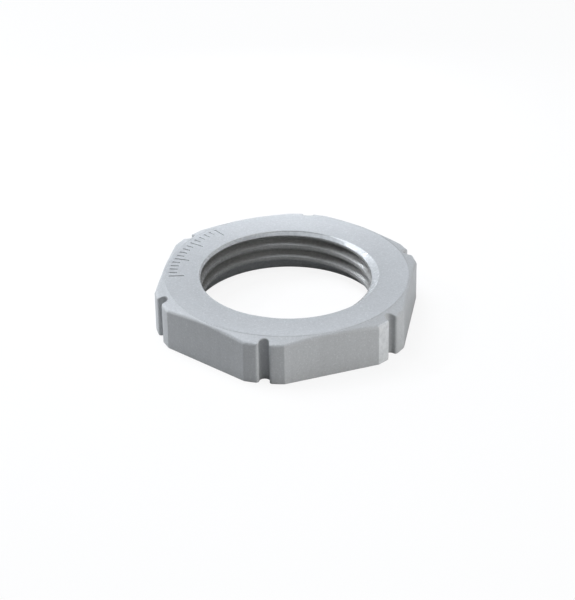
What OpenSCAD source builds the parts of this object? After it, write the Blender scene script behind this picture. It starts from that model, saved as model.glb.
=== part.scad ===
// Locknut for a cable gland: a flat moulded hexagon nut with turned corners,
// a slot in each corner, and a metric fine thread with a relief on its underside.
// The origin is the centre of the underside, and +Z is the way the thread's axis points.

/* [Hexagon] */
// Width across the flats
across_flats = 27; // [25.5:0.25:32]
// Height of the nut, from underside to top face
height = 5.1; // [4:0.1:9]
// How far each point of the hexagon is turned back towards the axis
corner_cut = 1.09; // [0.7:0.01:1.4]

/* [Top chamfer] */
// Distance from the flats to the circle where the chamfer starts on the top face
chamfer_inset = 0.25; // [0.1:0.05:0.8]
// Slope of the chamfer, measured from the top face
chamfer_angle = 18; // [10:1:30]

/* [Corner slots] */
// Width of each slot
slot_w = 1.1; // [0.8:0.05:1.6]
// Depth of each slot, measured inwards from the turned corner
slot_depth = 0.95; // [0.8:0.05:1.2]
// Radius on the slot's two outer edges
slot_mouth_r = 0.3; // [0.05:0.05:0.4]

/* [Thread] */
// Nominal diameter of the thread, at the bottom of its groove
thread_d = 20; // [18:0.5:21]
// Pitch of the thread
pitch = 1.5; // [1:0.25:1.5]
// Direction, seen from above, in which the groove leaves through the top face
thread_exit = -8; // [-180:1:180]
// Width of the countersink on the top face, outside the thread's crest
sink_w = 0.31; // [0.1:0.01:0.5]
// Diameter of the plain relief on the underside
relief_d = 20.6; // [20:0.1:22.5]
// Height of the plain relief
relief_h = 1.3; // [0.5:0.1:2]

/* [Hidden] */
$fn = 96;

// A metric thread's groove: 60 degrees between its flanks, an eighth of the pitch wide
// at its bottom, and a quarter of the pitch of crest left between two turns.
flank_angle = 30;
root_flat = pitch / 8;
crest_flat = pitch / 4;
thread_depth = (pitch - crest_flat - root_flat) / 2 / tan(flank_angle);
crest_r = thread_d / 2 - thread_depth;

sides = 6;
side_angle = 360 / sides;
flat_r = across_flats / 2;
corner_r = flat_r / cos(side_angle / 2) - corner_cut;
chamfer_r = flat_r - chamfer_inset;
chamfer_drop = (corner_r - chamfer_r) * tan(chamfer_angle);

// Cutters reach this far past the faces that they open
over = 1;

// Steps of the thread's sweep in one turn
turn_steps = 72;
// The groove's section starts this far inside the crest, on the same flanks
groove_reach = 0.15 * pitch;
// The groove's section, as distances from the axis and from the groove's middle
groove_section = [
    [crest_r - groove_reach, -(root_flat / 2 + (thread_depth + groove_reach) * tan(flank_angle))],
    [thread_d / 2, -root_flat / 2],
    [thread_d / 2, root_flat / 2],
    [crest_r - groove_reach, root_flat / 2 + (thread_depth + groove_reach) * tan(flank_angle)]
];

// Outline seen from above: a hexagon whose points are turned back to arcs.
module outline() {
    intersection() {
        rotate(side_angle / 2) circle(r = flat_r / cos(side_angle / 2), $fn = sides);
        circle(r = corner_r);
    }
}

// One slot, lying along +X: parallel sides, a full round at the inner end and a rounded mouth.
module slot() {
    half_w = slot_w / 2;
    round_x = corner_r - slot_depth + half_w;
    // The mouth's rounding starts where the turned corner meets the slot's side
    edge_x = sqrt(pow(corner_r, 2) - pow(half_w, 2));
    union() {
        translate([round_x, 0]) circle(d = slot_w);
        translate([round_x, -half_w]) square([slot_depth + over, slot_w]);
        difference() {
            translate([edge_x - slot_mouth_r, -half_w - slot_mouth_r])
                square([slot_mouth_r + over, slot_w + 2 * slot_mouth_r]);
            for (side = [-1, 1])
                translate([edge_x - slot_mouth_r, side * (half_w + slot_mouth_r)]) circle(r = slot_mouth_r);
        }
    }
}

// The body between underside and top, with its top edge turned to a shallow cone.
module blank() {
    intersection() {
        linear_extrude(height) difference() {
            outline();
            for (i = [0 : sides - 1]) rotate(side_angle * (i + 0.5)) slot();
        }
        rotate_extrude() polygon([
            [0, 0],
            [corner_r + over, 0],
            [corner_r + over, height - chamfer_drop - over * tan(chamfer_angle)],
            [chamfer_r, height],
            [0, height]
        ]);
    }
}

// The hole right through: relief below, thread crest, countersink above.
module bore() {
    translate([0, 0, -over]) cylinder(r = crest_r, h = height + 2 * over);
    translate([0, 0, -over]) cylinder(d = relief_d, h = relief_h + over);
    translate([0, 0, height - sink_w])
        cylinder(r1 = crest_r, r2 = crest_r + sink_w + over, h = sink_w + over);
}

// The thread's groove: its section climbs a right-hand helix from inside the relief until it has
// left through the top face, where the middle of the groove points in the direction thread_exit.
module groove() {
    first = floor((relief_h - height - pitch / 2) / pitch * turn_steps);
    last = ceil(turn_steps / 2);
    count = last - first + 1;
    n = len(groove_section);
    points = [
        for (i = [first : last], p = groove_section)
            let (turn = i / turn_steps, angle = thread_exit + 360 * turn)
            [p[0] * cos(angle), p[0] * sin(angle), height + pitch * turn + p[1]]
    ];
    walls = [
        for (i = [0 : count - 2], j = [0 : n - 1])
            let (a = i * n + j, b = i * n + (j + 1) % n)
            each [[a, b, b + n], [a, b + n, a + n]]
    ];
    start = [for (j = [n - 1 : -1 : 0]) j];
    end = [for (j = [0 : n - 1]) (count - 1) * n + j];
    polyhedron(points, concat(walls, [start, end]));
}

module locknut() {
    color("#b4b8be") difference() {
        blank();
        bore();
        groove();
    }
}

locknut();
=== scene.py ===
import math

import bpy
import numpy as np
from mathutils import Matrix, Vector


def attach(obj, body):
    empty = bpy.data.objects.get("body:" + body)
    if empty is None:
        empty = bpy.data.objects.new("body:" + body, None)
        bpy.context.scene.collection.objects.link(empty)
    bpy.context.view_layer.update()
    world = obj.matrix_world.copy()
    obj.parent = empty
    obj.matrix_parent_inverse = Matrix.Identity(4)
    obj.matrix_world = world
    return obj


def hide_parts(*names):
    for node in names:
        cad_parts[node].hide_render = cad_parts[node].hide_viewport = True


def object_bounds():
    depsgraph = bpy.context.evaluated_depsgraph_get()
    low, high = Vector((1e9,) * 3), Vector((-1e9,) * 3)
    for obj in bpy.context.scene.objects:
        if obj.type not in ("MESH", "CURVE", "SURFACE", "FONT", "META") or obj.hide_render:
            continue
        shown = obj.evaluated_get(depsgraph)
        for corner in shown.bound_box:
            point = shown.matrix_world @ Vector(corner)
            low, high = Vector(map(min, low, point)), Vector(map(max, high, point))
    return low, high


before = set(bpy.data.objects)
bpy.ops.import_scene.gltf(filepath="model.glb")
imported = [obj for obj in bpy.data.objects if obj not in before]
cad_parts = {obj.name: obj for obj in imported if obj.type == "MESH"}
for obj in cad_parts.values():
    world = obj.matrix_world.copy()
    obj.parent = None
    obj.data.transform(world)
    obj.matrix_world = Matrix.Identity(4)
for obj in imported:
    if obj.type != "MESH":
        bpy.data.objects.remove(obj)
cad_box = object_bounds()

# Locknut. One piece of grey polyamide, moulded flat: a hexagon with turned and slotted corners
# and a shallow chamfer, whose metric thread starts above a plain relief on the underside.
# All its sizes are in millimetres, and only the finished mesh is in metres.
MM = 0.001
SIDES = 6
SECTOR = 360 / SIDES
TOP = cad_box[1][2] / MM
FLAT_R = cad_box[1][0] / MM
CORNER_R = 14.498
CHAMFER_INSET = 0.25
CHAMFER_R = FLAT_R - CHAMFER_INSET
CHAMFER_SLOPE = math.tan(math.radians(18))
STEP = 0.04
EDGE_R_AT_SLOT = 0.1
EDGE_R_MOST = 0.3
EDGE_R_GROWTH = 0.35
EDGE_R_SHARE = 0.75
SLOT_HALF = 0.55
SLOT_DEPTH = 0.95
MOUTH_R = 0.3
VERTEX_R = 0.12
FOOT_R = 0.1
PITCH = 1.5
ROOT_R = 10.0
FLANK_SLOPE = math.tan(math.radians(30))
CREST_R = ROOT_R - (PITCH - PITCH / 4 - PITCH / 8) / 2 / FLANK_SLOPE
THREAD_EXIT = math.radians(-8)
SINK_W = 0.31
SINK_R = CREST_R + SINK_W
SINK_LAND = 0.08
RELIEF_R = 10.3
RELIEF_H = 1.3
ROUND_STEPS = 4
TICK_R = 12.7
TICK_FIRST = 139
TICK_LAST = 191.5
TICK_APART = 3.5
TICK_LONG = 0.75
TICK_SHORT = 0.35
TICK_HALF = 0.11
TICK_DRAFT = 0.04
TICK_DEPTH = 0.08


def arc(centre, radius, start, end, count):
    """Points on a circle between two directions in degrees, the first one left out."""
    turn = np.radians(np.linspace(start, end, count + 1)[1:])
    return np.column_stack([centre[0] + radius * np.cos(turn), centre[1] + radius * np.sin(turn)])


def straight(start, end, shares):
    """Points at the given shares of the way from one point to another."""
    return np.array(start) + np.outer(shares, np.subtract(end, start))


def turned(points, degrees):
    """Points in the plane, turned about the origin."""
    turn = math.radians(degrees)
    matrix = np.array([[math.cos(turn), math.sin(turn)], [-math.sin(turn), math.cos(turn)]])
    return points @ matrix


def half_side():
    """Outline from the middle of a flat, which faces +X, to the middle of the slot half a sector on:
    the flat, its rounded end, the turned corner, the slot's mouth, its side and its round end."""
    vertex = (FLAT_R - VERTEX_R, math.sqrt((CORNER_R - VERTEX_R) ** 2 - (FLAT_R - VERTEX_R) ** 2))
    vertex_turn = math.degrees(math.atan2(vertex[1], vertex[0]))
    mouth = (math.sqrt((CORNER_R - MOUTH_R) ** 2 - (SLOT_HALF + MOUTH_R) ** 2), -SLOT_HALF - MOUTH_R)
    mouth_turn = math.degrees(math.atan2(mouth[1], mouth[0]))
    end_x = CORNER_R - SLOT_DEPTH + SLOT_HALF
    slot = np.vstack([
        arc(mouth, MOUTH_R, mouth_turn, 90, 6),
        straight((mouth[0], -SLOT_HALF), (end_x, -SLOT_HALF), [0.5, 1]),
        arc((end_x, 0), SLOT_HALF, -90, -180, 9),
    ])
    return np.vstack([
        straight((FLAT_R, 0), (FLAT_R, vertex[1]), np.r_[np.linspace(0, 0.96, 24), 0.985, 1]),
        arc(vertex, VERTEX_R, 0, vertex_turn, 3),
        arc((0, 0), CORNER_R, vertex_turn, SECTOR / 2 + mouth_turn, 6),
        turned(slot, SECTOR / 2),
    ])


def whole_outline():
    """The closed outline and its outward normals: each side is one half and its mirror image."""
    half = half_side()
    side = np.vstack([half[:0:-1] * [1, -1], half])[1:]
    points = np.vstack([turned(side, SECTOR * k) for k in range(SIDES)])
    along = np.roll(points, -1, axis=0) - np.roll(points, 1, axis=0)
    along /= np.linalg.norm(along, axis=1)[:, None]
    return points, np.column_stack([along[:, 1], -along[:, 0]])


def rounded(corners, radii):
    """A polyline whose inner corners are arcs, or stay where their radius is 0. An arc's centre lies on
    the line that halves the corner, and the arc swings from one line's normal to the other's."""
    points = [np.array(corners[0], float)]
    for before, here, after, radius in zip(corners, corners[1:], corners[2:], radii):
        if not radius:
            points.append(np.array(here, float))
            continue
        back = np.subtract(before, here) / math.dist(before, here)
        ahead = np.subtract(after, here) / math.dist(after, here)
        outward = -(back + ahead) / np.linalg.norm(back + ahead)
        across = (ahead - back) / np.linalg.norm(ahead - back)
        half = math.acos(-outward @ ahead)
        centre = here - outward * radius / math.sin(half)
        swing = np.linspace(half - math.pi / 2, math.pi / 2 - half, ROUND_STEPS + 1)[:, None]
        points.extend(centre + radius * (outward * np.cos(swing) + across * np.sin(swing)))
    points.append(np.array(corners[-1], float))
    return np.array(points)


def make_mesh(name, points, faces):
    """An object from points in millimetres and faces."""
    mesh = bpy.data.meshes.new(name)
    mesh.from_pydata((points * MM).tolist(), [], faces)
    thing = bpy.data.objects.new(name, mesh)
    bpy.context.scene.collection.objects.link(thing)
    return thing


def cone_height(radius):
    """Height of the chamfer's cone at a distance from the axis. It starts one step below the face."""
    return TOP - STEP - np.maximum(radius - CHAMFER_R, 0) * CHAMFER_SLOPE


def plain_nut():
    """The nut before its thread is cut: rows of points round the axis, joined into one closed skin.
    They run from the relief to the underside, out to the wall, up over its edge, in across the top
    and down the countersink. Outside the chamfer's circle the points follow the outline, moved
    inwards along its normal where an edge is round, and inside it they stand evenly round the axis.
    The wall's upper edge is rounder away from the slots, but takes only a share of the chamfer."""
    outline, normal = whole_outline()
    count = len(outline)
    radius = np.linalg.norm(outline, axis=1)
    even = math.atan2(outline[0, 1], outline[0, 0]) + 2 * np.pi * np.arange(count) / count
    ring = np.column_stack([np.cos(even), np.sin(even)])
    direction = np.degrees(np.arctan2(outline[:, 1], outline[:, 0]))
    from_slot = np.radians((direction % SECTOR) - SECTOR / 2)
    off_slot = radius * np.abs(np.sin(from_slot)) - SLOT_HALF
    widest = np.minimum(EDGE_R_MOST, EDGE_R_SHARE * (radius - CHAMFER_R))
    edge_r = np.clip(EDGE_R_AT_SLOT + EDGE_R_GROWTH * off_slot, EDGE_R_AT_SLOT, widest)

    def inset(distance):
        return outline - normal * np.broadcast_to(distance, count)[:, None]

    def row(plan, height):
        return np.column_stack([plan, np.broadcast_to(height, count)])

    def on_cone(plan, drop=0):
        return row(plan, cone_height(np.linalg.norm(plan, axis=1)) - drop)

    foot = [(RELIEF_R, RELIEF_H), (RELIEF_R, 0), (RELIEF_R + 1, 0)]
    rows = [row(ring * r, z) for r, z in rounded(foot, [FOOT_R])[1:-1]]
    start, end = ring * (RELIEF_R + 1.5 * FOOT_R), inset(1.5 * FOOT_R)
    rows += [row(start + (end - start) * share, 0) for share in (0, 0.25, 0.5, 0.75, 1)]
    for turn in np.radians(np.linspace(0, 90, 5)):
        rows.append(row(inset(FOOT_R * (1 - np.sin(turn))), FOOT_R * (1 - np.cos(turn))))
    shoulder = cone_height(radius) - edge_r
    for share in (0.015, 0.25, 0.5, 0.75, 0.985):
        rows.append(row(outline, FOOT_R + (shoulder - FOOT_R) * share))
    for turn in np.radians(np.linspace(0, 90, 7)):
        rows.append(on_cone(inset(edge_r * (1 - np.cos(turn))), edge_r * (1 - np.sin(turn))))
    start, end = inset(edge_r), ring * CHAMFER_R
    rows += [on_cone(start + (end - start) * share) for share in (0.1, 0.4, 0.7, 0.95)]
    blank_r = CREST_R - 0.4
    on_chamfer = CHAMFER_R + 0.03
    mid_face = 11.4
    inside = [
        (on_chamfer, cone_height(on_chamfer), 0),
        (CHAMFER_R, TOP - STEP, 0.01),
        (CHAMFER_R - STEP, TOP, 0.01),
        (CHAMFER_R - 0.3, TOP, 0),
        (mid_face, TOP, 0),
        (SINK_R + 0.3, TOP, 0),
        (SINK_R, TOP, 0.02),
        (SINK_R, TOP - SINK_LAND, 0.03),
        (blank_r, TOP - SINK_LAND - (SINK_R - blank_r), 0.1),
        (blank_r, RELIEF_H, 0.1),
        (RELIEF_R, RELIEF_H, 0.08),
        (RELIEF_R, RELIEF_H / 2, 0),
    ]
    corners = [(r, z) for r, z, _ in inside]
    radii = [corner_radius for _, _, corner_radius in inside[1:-1]]
    rows += [row(ring * r, z) for r, z in rounded(corners, radii)[1:-1]]
    rows += [row(ring * RELIEF_R, height) for height in (RELIEF_H - 0.1, 1.5 * FOOT_R)]
    points = np.array(rows)
    index = np.arange(len(rows) * count).reshape(len(rows), count)
    above = np.roll(index, -1, axis=0)
    quads = np.stack([index, np.roll(index, -1, axis=1), np.roll(above, -1, axis=1), above], axis=-1)
    return make_mesh("locknut_body", points.reshape(-1, 3), quads.reshape(-1, 4).tolist())


def thread_cutter():
    """The thread as a solid screw that is cut from the nut. Its section is one pitch long, from crest
    to crest, and climbs a helix. Where one turn's section ends, the section a turn higher begins, so
    both share one row of points, and a cone to the axis closes the skin at either end. It reaches
    from four turns below the place where the groove leaves the top face to one turn above it."""
    steps = 360
    half_crest = PITCH / 8
    half_root = PITCH / 16
    corners = [(-PITCH / 2, CREST_R), (half_crest - PITCH / 2, CREST_R), (-half_root, ROOT_R),
               (half_root, ROOT_R), (PITCH / 2 - half_crest, CREST_R), (PITCH / 2, CREST_R)]
    section = rounded(corners, [0.06, 0.1, 0.1, 0.06])[:-1]
    length = len(section)
    station = np.arange(-4 * steps, steps + 1)
    count = len(station)
    angle = THREAD_EXIT + 2 * np.pi * station / steps
    climb = TOP + PITCH * station / steps
    points = np.stack([
        np.outer(np.cos(angle), section[:, 1]),
        np.outer(np.sin(angle), section[:, 1]),
        np.add.outer(climb, section[:, 0]),
    ], axis=-1)
    last_edge = points[-steps:, 0] + [0, 0, PITCH]
    ends = np.array([[0, 0, climb[0] - PITCH], [0, 0, climb[-1] + PITCH]])
    grid = np.arange(count * length).reshape(count, length)
    edge = np.r_[grid[:, 0], count * length + np.arange(steps)]
    full = np.column_stack([grid, edge[steps:]])
    quads = np.stack([full[:-1, :-1], full[1:, :-1], full[1:, 1:], full[:-1, 1:]], axis=-1)
    faces = quads.reshape(-1, 4).tolist()
    low_loop = np.r_[edge[steps:0:-1], full[0, :length]]
    high_loop = np.r_[edge[count - 1:], full[-1, length - 1:0:-1]]
    low_end = count * length + steps
    for loop, end in ((low_loop, low_end), (high_loop, low_end + 1)):
        faces += np.column_stack([np.full(len(loop), end), loop, np.roll(loop, -1)]).tolist()
    return make_mesh("thread_cutter", np.vstack([points.reshape(-1, 3), last_edge, ends]), faces)


def tick_cutter():
    """Plain engraved ticks, long and short like a scale, as one closed cutter for each. Seen from above a
    tick is a bar with round ends, and it narrows by its draft from the face to its floor."""
    turn = np.radians(np.linspace(-90, 90, 7))
    end = np.column_stack([np.cos(turn), np.sin(turn)])
    bar = np.vstack([end, -end])
    beyond = np.r_[np.ones(len(end)), -np.ones(len(end))]
    over = 0.02
    levels = [(TICK_HALF + over, TOP + over), (TICK_HALF, TOP), (TICK_HALF - TICK_DRAFT, TOP - TICK_DEPTH)]
    points, faces = [], []
    for number, direction in enumerate(np.radians(np.arange(TICK_FIRST, TICK_LAST + 0.1, TICK_APART))):
        half = TICK_LONG if number % 5 == 0 else TICK_SHORT
        out = np.array([math.cos(direction), math.sin(direction)])
        side = np.array([-out[1], out[0]])
        first = sum(len(p) for p in points)
        for width, height in levels:
            reach = TICK_R - half + beyond * half + bar[:, 0] * width
            plan = np.outer(reach, out) + np.outer(bar[:, 1] * width, side)
            points.append(np.column_stack([plan, np.full(len(bar), height)]))
        grid = first + np.arange(len(levels) * len(bar)).reshape(len(levels), len(bar))
        ahead = np.roll(grid, -1, axis=1)
        faces += np.stack([grid[1:], ahead[1:], ahead[:-1], grid[:-1]], axis=-1).reshape(-1, 4).tolist()
        faces += [grid[0].tolist(), grid[-1, ::-1].tolist()]
    return make_mesh("tick_cutter", np.vstack(points), faces)


def cut(thing, cutters):
    """Takes the cutters away from a piece, exactly, and keeps the edges that they leave crisp: the faces
    that they cut carry a material of their own, and an edge with both materials is sharp."""
    thing.data.materials.append(bpy.data.materials.new("moulded_side"))
    cut_side = bpy.data.materials.new("cut_side")
    for cutter in cutters:
        cutter.data.materials.append(cut_side)
        step = thing.modifiers.new(cutter.name, "BOOLEAN")
        step.operation = "DIFFERENCE"
        step.solver = "EXACT"
        step.material_mode = "TRANSFER"
        step.object = cutter
    mesh = bpy.data.meshes.new_from_object(thing.evaluated_get(bpy.context.evaluated_depsgraph_get()))
    mesh.shade_smooth()
    mesh.set_sharp_from_angle(angle=math.radians(32))
    side = np.empty(len(mesh.polygons), int)
    size = np.empty(len(mesh.polygons), int)
    edge = np.empty(len(mesh.loops), int)
    sharp = np.empty(len(mesh.edges), bool)
    mesh.polygons.foreach_get("material_index", side)
    mesh.polygons.foreach_get("loop_total", size)
    mesh.loops.foreach_get("edge_index", edge)
    mesh.edges.foreach_get("use_edge_sharp", sharp)
    cut_faces = np.bincount(edge, np.repeat(side, size), len(sharp))
    mesh.edges.foreach_set("use_edge_sharp", sharp | (cut_faces == 1))
    mesh.polygons.foreach_set("material_index", np.zeros_like(side))
    thing.modifiers.clear()
    thing.data = mesh
    for cutter in cutters:
        bpy.data.objects.remove(cutter)


class Signal:
    """A node's output in a material. Arithmetic on it adds the Math nodes that work it out."""

    def __init__(self, tree, socket=None):
        self.tree = tree
        self.socket = socket

    def node(self, kind, inputs, settings=(), output=0):
        """Adds a node of any type: first its settings, then the values or links of its sockets."""
        made = self.tree.nodes.new(kind)
        for name, value in dict(settings).items():
            setattr(made, name, value)
        for name, value in inputs.items():
            if isinstance(value, Signal):
                self.tree.links.new(value.socket, made.inputs[name])
            else:
                made.inputs[name].default_value = value
        return Signal(self.tree, made.outputs[output])

    def math(self, operation, *values):
        return self.node("ShaderNodeMath", dict(enumerate(values)), {"operation": operation})

    def __add__(self, other):
        return self.math("ADD", self, other)

    def __radd__(self, other):
        return self.math("ADD", other, self)

    def __sub__(self, other):
        return self.math("SUBTRACT", self, other)

    def __rsub__(self, other):
        return self.math("SUBTRACT", other, self)

    def __mul__(self, other):
        return self.math("MULTIPLY", self, other)

    def __rmul__(self, other):
        return self.math("MULTIPLY", other, self)


# The nut's finish: its grey outside and in the thread, and where its painted light lies. The thread's grey
# is darker and warmer than outside; the darkening is painted shade in the grooves. A pale corner face, a
# painted highlight, lies between two directions round the axis and outside a radius, each with a soft
# limit. A painted glint lies on the countersink's side that faces along a vector in the plane.
OUTER_GREY = (0.450, 0.460, 0.464, 1)
# Warmer and darker than outside; the darkening is painted shade in the grooves.
THREAD_GREY_WITH_SHADE = (0.440, 0.436, 0.420, 1)
LIT_FACET_START = np.radians([-38.9, -38.7])
LIT_FACET_END = np.radians([-33.2, -32.6])
LIT_FACET_R = (14.2, 14.35)
SINK_GLINT_FACING = (0.34, 0.94)


def moulded_grey():
    """Grey polyamide as it leaves the mould. It has a fine spark-eroded grain outside, and is smoother and
    glossier in the thread and on the countersink. Patterns are in millimetres of the nut, and each adds
    its share to the grey's strength, which is 1 without them. Some shares are painted highlights and
    shade."""
    material = bpy.data.materials.new("moulded_grey")
    material.use_nodes = True
    start = Signal(material.node_tree)
    shader = material.node_tree.nodes["Principled BSDF"]
    metres = start.node("ShaderNodeTexCoord", {}, output="Object")
    spot = start.node("ShaderNodeVectorMath", {0: metres, "Scale": 1 / MM}, {"operation": "SCALE"})
    axes = start.node("ShaderNodeSeparateXYZ", {"Vector": spot}).socket.node.outputs
    x, y, z = (Signal(material.node_tree, axes[name]) for name in "XYZ")
    radius = start.math("SQRT", x * x + y * y)
    direction = start.math("ARCTAN2", y, x)
    facing = start.node("ShaderNodeNewGeometry", {}, output="Normal")
    facing_up = start.node("ShaderNodeSeparateXYZ", {"Vector": facing}, output="Z")

    def noise(scale, detail, stretch=(1, 1, 1)):
        """Noise about 0, with so many waves to a millimetre."""
        spread = start.node("ShaderNodeVectorMath", {0: spot, 1: stretch}, {"operation": "MULTIPLY"})
        wave = {"Vector": spread, "Scale": scale, "Detail": detail}
        return start.node("ShaderNodeTexNoise", wave, output="Fac") - 0.5

    def ramp(value, low, high):
        """Rises smoothly from 0 to 1 between two values."""
        return start.node("ShaderNodeMapRange", {"Value": value, "From Min": low, "From Max": high},
                          {"interpolation_type": "SMOOTHSTEP"})

    thread = (1 - ramp(radius, ROOT_R, ROOT_R + 0.1)) * (1 - ramp(z, TOP - 0.06, TOP - 0.02))
    outside = 1 - thread
    wall = 1 - ramp(start.math("ABSOLUTE", facing_up), 0.2, 0.5)
    sink = thread * ramp(z, TOP - 0.6, TOP - 0.4)
    # Where the countersink's painted glint lies: its side facing along a vector in the plane.
    sink_glint_side = sink * ramp(SINK_GLINT_FACING[0] * x + SINK_GLINT_FACING[1] * y, 5, 8)
    # Where the painted highlight lies: one corner face.
    lit_facet = ramp(direction, *LIT_FACET_START) * (1 - ramp(direction, *LIT_FACET_END)) * ramp(radius, *LIT_FACET_R)
    off_line = start.math("ABSOLUTE", radius - CHAMFER_R)
    # Where the painted shade at the chamfer's step lies: close to its circle, on the far side.
    step_shade_band = (1 - ramp(off_line, 0.03, 0.09)) * ramp(y, 3, 9)
    shares = {
        "clouds": noise(0.3, 2) * 0.10,
        "grain": noise(5.0, 2) * 0.30 * outside,
        # Painted glints: pale specks on the outside that stand in for the grain's sparkle.
        "painted_sparkle": ramp(noise(6.0, 0), 0.14, 0.24) * 0.12 * outside,
        "wall_streaks": noise(1.6, 3, (1, 1, 0.06)) * 0.14 * wall * outside,
        "bore_smears": noise(2.6, 3) * (0.20 * thread + 0.5 * sink),
        # Painted highlight: that corner face made paler and mottled.
        "painted_facet_highlight": lit_facet * (0.35 + noise(1.4, 3) * 0.9),
        # Paler towards the outer edge of the top face, darker towards the bore.
        "paler_outwards": 0.04 * (radius - 11.8) * outside,
        # Painted shade: a dark line along the chamfer's step, on the far side only.
        "painted_step_shade": -0.5 * step_shade_band,
        # Painted sheen: the countersink made paler, standing in for its bright reflections.
        "countersink": 0.2 * sink,
        # Painted glint: the countersink paler still on that side.
        "painted_sink_glint": 0.35 * sink_glint_side,
    }
    strength = sum(shares.values(), 1)
    level = start.node("ShaderNodeCombineXYZ", {"X": strength, "Y": strength, "Z": strength})
    # A colour Mix node has its two colours on sockets 6 and 7, and its result on output 2.
    greys = {0: thread - sink, 6: OUTER_GREY, 7: THREAD_GREY_WITH_SHADE}
    hue = start.node("ShaderNodeMix", greys, {"data_type": "RGBA"}, output=2)
    colour = start.node("ShaderNodeVectorMath", {0: level, 1: hue}, {"operation": "MULTIPLY"})
    # Roughness is 0.42 on the top face, 0.36 on the walls, 0.24 in the thread and 0.18 on the countersink.
    even_rough = 0.42 - 0.18 * thread - 0.06 * sink - 0.06 * wall * outside
    rough = even_rough + noise(3.0, 3) * (0.10 + 0.9 * thread)
    height = noise(6.0, 2) * (0.8 * outside + 0.12) + noise(2.8, 3) * thread * 3
    bump = start.node("ShaderNodeBump", {"Strength": 0.5, "Distance": 0.02 * MM, "Height": height})
    for name, signal in {"Base Color": colour, "Roughness": rough, "Normal": bump}.items():
        material.node_tree.links.new(signal.socket, shader.inputs[name])
    return material


nut = plain_nut()
cut(nut, [thread_cutter(), tick_cutter()])
nut.data.materials.clear()
nut.data.materials.append(moulded_grey())
nut.name = "moulded_locknut"
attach(nut, "root")
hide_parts("locknut")

# Floor. A plain white studio sheet, not part of the object. The camera sees most of it as evenly white,
# and the rest as the lit sheet, which keeps a faint shadow of the nut. Glossy faces see the same white
# on the part of the sheet behind the nut. The places where that part starts are in metres.
SHEET_GLOW = 0.88
SHEET_TONE = 0.5
SHEET_BEHIND = (0.025, 0.045)
SHEET_BESIDE = (0.010, 0.030)
SHEET_HALF = 2.0
floor_mesh = bpy.data.meshes.new("studio_floor")
square = [(-1, -1), (1, -1), (1, 1), (-1, 1)]
floor_mesh.from_pydata([(x * SHEET_HALF, y * SHEET_HALF, 0) for x, y in square], [], [(0, 1, 2, 3)])
floor = bpy.data.objects.new("studio_floor", floor_mesh)
bpy.context.scene.collection.objects.link(floor)
paper = bpy.data.materials.new("white_paper")
paper.use_nodes = True
sheet = paper.node_tree.nodes["Principled BSDF"]
sheet.inputs["Roughness"].default_value = 0.9
lit = Signal(paper.node_tree, sheet.outputs["BSDF"])
rays = lit.node("ShaderNodeLightPath", {}).socket.node.outputs
by_camera = Signal(paper.node_tree, rays["Is Camera Ray"])
by_gloss = Signal(paper.node_tree, rays["Is Glossy Ray"])
metres = lit.node("ShaderNodeTexCoord", {}, output="Object")
on_sheet = lit.node("ShaderNodeSeparateXYZ", {"Vector": metres}).socket.node.outputs


def past(axis, limits):
    """Rises from 0 to 1 between two places along an axis of the sheet."""
    along = Signal(paper.node_tree, on_sheet[axis])
    return lit.node("ShaderNodeMapRange", {"Value": along, "From Min": limits[0], "From Max": limits[1]})


behind = past("Y", SHEET_BEHIND) * (1 - past("X", SHEET_BESIDE))
sheet_tone = SHEET_TONE + by_camera * (1 - SHEET_TONE)
sheet_grey = lit.node("ShaderNodeCombineXYZ", {"X": sheet_tone, "Y": sheet_tone, "Z": sheet_tone})
paper.node_tree.links.new(sheet_grey.socket, sheet.inputs["Base Color"])
glow = lit.node("ShaderNodeEmission", {"Color": (1, 1, 1, 1), "Strength": 1})
glow_share = (by_camera + by_gloss * behind) * SHEET_GLOW
shown = lit.node("ShaderNodeMixShader", {0: glow_share, 1: lit, 2: glow})
paper.node_tree.links.new(shown.socket, paper.node_tree.nodes["Material Output"].inputs["Surface"])
floor_mesh.materials.append(paper)

# Camera. It looks down at about 30 degrees through a long lens, as in the photograph. The nut stays
# square to its axes, and the camera stands round to the side by the turn that the nut has there.
ELEVATION = math.radians(30.35)
ROLL = math.radians(0.87)
NUT_TURN = 10.135
AZIMUTH = math.radians(-90 + NUT_TURN)
DISTANCE = 249.25
ASIDE = 0.024
ABOVE = 1.469
PIXELS_PER_MM = 9.147
LONG_SIDE = 600


def pointing(around, height):
    """Unit vector with a direction round Z and a height above the floor, both as angles."""
    flat = math.cos(height)
    return Vector((math.cos(around) * flat, math.sin(around) * flat, math.sin(height)))


outward = pointing(AZIMUTH, ELEVATION)
sideways = Vector((-math.sin(AZIMUTH), math.cos(AZIMUTH), 0))
upward = outward.cross(sideways)
camera = bpy.data.objects.new("camera", bpy.data.cameras.new("camera"))
bpy.context.scene.collection.objects.link(camera)
right = sideways * math.cos(ROLL) - upward * math.sin(ROLL)
up = sideways * math.sin(ROLL) + upward * math.cos(ROLL)
lens_at = (outward * DISTANCE + sideways * ASIDE + upward * ABOVE) * MM
camera.matrix_world = Matrix.Translation(lens_at) @ Matrix((right, up, outward)).transposed().to_4x4()
camera.data.sensor_width = 36
camera.data.lens = PIXELS_PER_MM * DISTANCE * camera.data.sensor_width / LONG_SIDE
camera.data.clip_start = 0.01
bpy.context.scene.camera = camera

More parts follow.
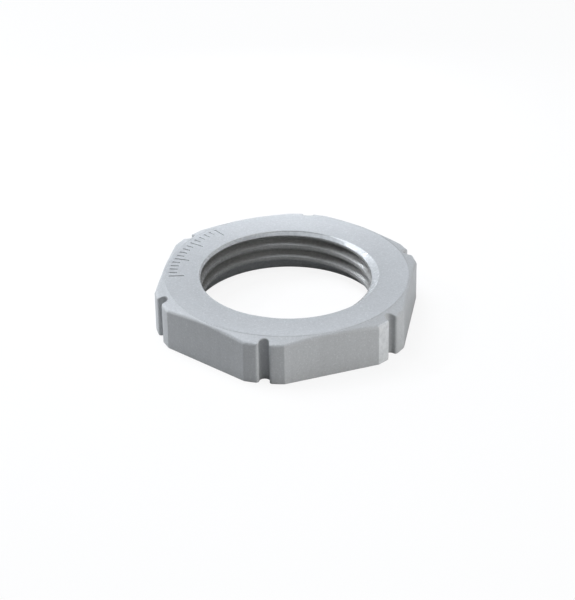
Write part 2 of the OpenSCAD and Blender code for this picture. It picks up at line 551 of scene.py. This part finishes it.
# Light. Soft boxes and low white cards round the nut, the largest above and behind it to the left. Each
# has its direction, seen with the camera at -90 degrees, its height in degrees, its distance, width and
# height in metres, its power in watts and its colour.
COOL = (0.955, 1.0, 1.07)
NEUTRAL = (1.0, 1.0, 1.0)
AMBIENT = 0.02
LAMPS = {
    "main_box": (135, 60, 0.6, 0.30, 0.30, 1.61, COOL),
    "glint_box": (165, 38, 0.6, 0.12, 0.12, 0.75, COOL),
    "spot_box": (138, 40, 0.6, 0.05, 0.05, 0.30, COOL),
    "near_top": (0, 90, 0.11, 0.06, 0.06, 0.038, COOL),
    "near_left": (150, 16, 0.11, 0.06, 0.06, 0.0215, COOL),
    "near_back": (90, 25, 0.065, 0.03, 0.03, 0.0088, COOL),
    "near_front": (300, 45, 0.11, 0.06, 0.06, 0.0097, NEUTRAL),
    "back_card": (90, 1.3, 0.6, 0.30, 0.022, 0.09, COOL),
    "left_card": (170, 1.3, 0.6, 0.30, 0.022, 1.00, NEUTRAL),
    "right_card": (338, 1.3, 0.6, 0.30, 0.022, 1.72, NEUTRAL),
    "front_card": (315, 1.3, 0.6, 0.30, 0.022, 0.46, NEUTRAL),
}
for name, (turn, raised, distance, wide, tall, power, colour) in LAMPS.items():
    lamp = bpy.data.lights.new(name, "AREA")
    lamp.shape = "ELLIPSE"
    lamp.size = wide
    lamp.size_y = tall
    lamp.energy = power
    lamp.color = colour
    stand = bpy.data.objects.new(name, lamp)
    bpy.context.scene.collection.objects.link(stand)
    aim = pointing(AZIMUTH + math.radians(90 + turn), math.radians(raised))
    stand.location = aim * distance
    stand.rotation_euler = aim.to_track_quat("Z", "Y").to_euler()
    stand.visible_camera = False
world = bpy.data.worlds.new("room")
bpy.context.scene.world = world
world.use_nodes = True
to_camera = Signal(world.node_tree).node("ShaderNodeLightPath", {}, output="Is Camera Ray")
room = world.node_tree.nodes["Background"]
room.inputs["Color"].default_value = (1, 1, 1, 1)
world.node_tree.links.new((AMBIENT + to_camera * (1 - AMBIENT)).socket, room.inputs["Strength"])
bpy.context.scene.view_settings.view_transform = "Standard"
